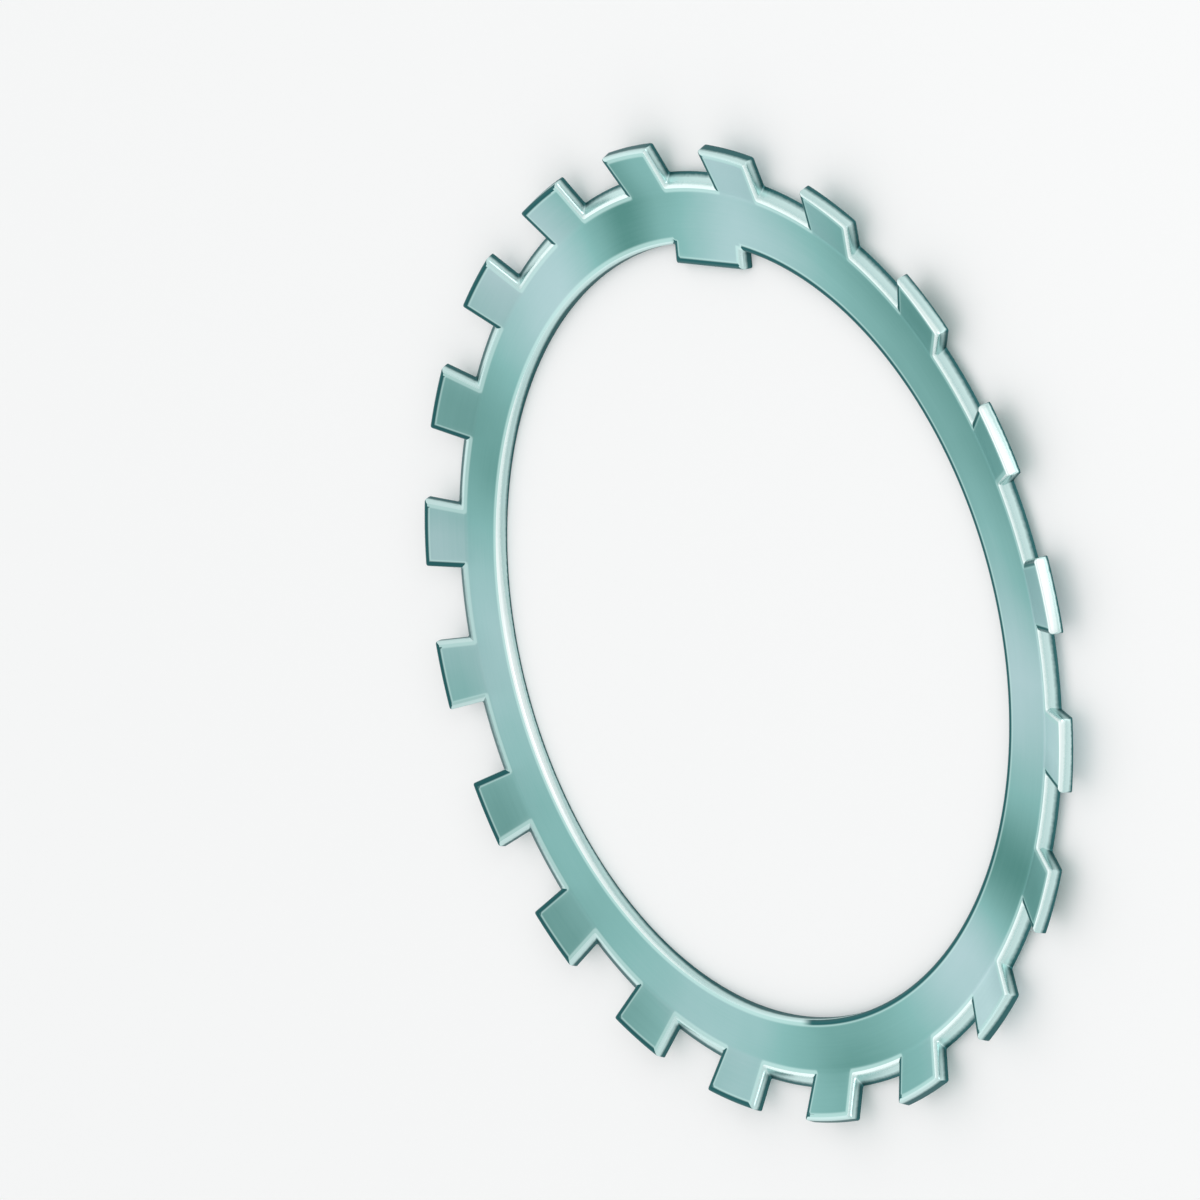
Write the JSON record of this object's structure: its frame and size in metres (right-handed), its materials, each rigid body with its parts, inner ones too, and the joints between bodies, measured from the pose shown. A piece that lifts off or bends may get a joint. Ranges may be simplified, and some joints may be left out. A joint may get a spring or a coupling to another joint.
{
  "type": "bearing lock washer",
  "caption": "Round flat lock washer of stamped sheet steel with a rim of bent-up locking teeth and one inner tab for a shaft's keyway.",
  "frame": {"origin": "on the bore's axis, at the flat back face that the washer lies on", "axes": "+Z along the bore's axis, from the back face towards the side that the teeth are bent to; +Y from the axis through the middle of the inner tab"},
  "size_m": [0.1518, 0.1518, 0.0052],
  "materials": {
    "steel": "satin stamped sheet steel with a blue-green passivated surface"
  },
  "bodies": {
    "root": {"lock_washer": "steel"}
  },
  "joints": []
}
